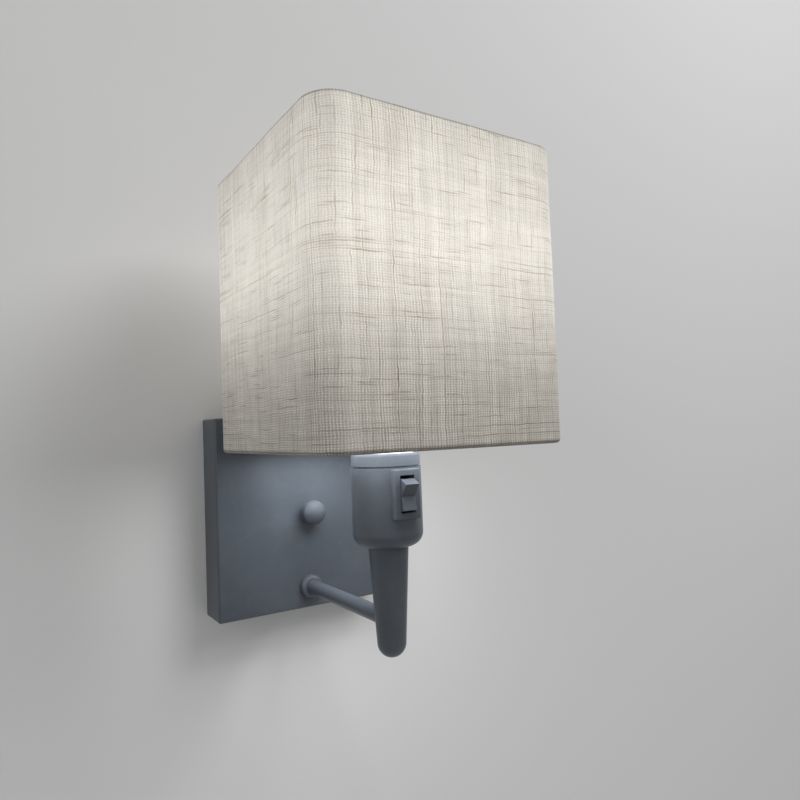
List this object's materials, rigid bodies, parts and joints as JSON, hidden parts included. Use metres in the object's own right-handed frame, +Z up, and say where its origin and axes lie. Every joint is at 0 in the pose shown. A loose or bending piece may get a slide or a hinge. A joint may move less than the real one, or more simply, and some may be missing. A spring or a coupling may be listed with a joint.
{
  "type": "wall sconce",
  "caption": "Wall sconce with a square fabric shade, rocker switch cup, short rigid arm and square painted back plate",
  "frame": {"origin": "middle of the back plate on the wall plane, halfway between the two bracket slots", "axes": "X to the right when facing the wall, +Y into the wall so that the front is -Y, Z up"},
  "size_m": [0.133, 0.1865, 0.2495],
  "materials": {
    "paint": "satin cool grey paint",
    "zinc": "zinc plated",
    "brass": "bare, dull",
    "white_plastic": "matte white",
    "switch_plastic": "satin grey",
    "frame_wire": "white coated wire",
    "linen": "slubbed linen on a pale lining",
    "black_glass": "black",
    "bulb_cap": "plain",
    "globe": "opal",
    "brown_wire": "brown insulation",
    "blue_wire": "blue insulation",
    "black_wire": "black insulation",
    "green_wire": "green and yellow insulation"
  },
  "bodies": {
    "lamp": {"wall_bracket": "zinc", "centre_stud": "zinc", "stud_nut": "zinc", "terminal_block": "white_plastic", "terminal_clamps": "brass", "terminal_screws": "zinc", "block_screw": "zinc", "earth_screw": "brass", "back_plate": "paint", "knob": "paint", "arm_tube": "paint", "arm_collar": "paint", "earth_tag": "brass", "arm_nut": "zinc", "tail": "paint", "tail_pipe": "zinc", "tail_nut": "zinc", "cup": "paint", "cup_lid": "paint", "lid_pipe": "zinc", "lid_nut": "zinc", "switch_frame": "switch_plastic", "switch_base": "white_plastic", "common_terminal": "brass", "load_terminal": "brass", "rocker_pin": "zinc", "holder_foot": "white_plastic", "holder_core": "white_plastic", "holder_terminals": "brass", "screw_shell": "brass", "centre_contact": "brass", "holder_sleeve": "white_plastic", "shade_clamp_ring": "white_plastic", "bulb_contact": "zinc", "bulb_insulator": "black_glass", "bulb_cap": "bulb_cap", "bulb_body": "white_plastic", "bulb_globe": "globe", "line_wire": "brown_wire", "neutral_wire": "blue_wire", "switched_wire": "black_wire", "earth_wire": "green_wire"},
    "switch_rocker": {"rocker": "switch_plastic", "plunger": "white_plastic", "plunger_spring": "zinc"},
    "switch_contact": {"seesaw_contact": "brass"},
    "shade": {"shade_frame": "frame_wire", "shade_top_wire": "frame_wire", "shade_fabric": "linen"}
  },
  "joints": [
    {"name": "rocker_tilt", "type": "hinge", "parent": "lamp", "child": "switch_rocker", "pos_m": [0, -0.1358, 0.0182], "axis": [1, 0, 0], "range_deg": [-22, 0]},
    {"name": "contact_tilt", "type": "hinge", "parent": "lamp", "child": "switch_contact", "pos_m": [0, -0.12885, 0.0182], "axis": [1, 0, 0], "range_deg": [0, 15.85]},
    {"name": "shade_turn", "type": "hinge", "parent": "lamp", "child": "shade", "pos_m": [0, -0.12, 0.0405], "axis": [0, 0, 1], "continuous": true}
  ],
  "couplings": [
    {"joint": "contact_tilt", "follows": "rocker_tilt", "ratio": -0.72}
  ]
}
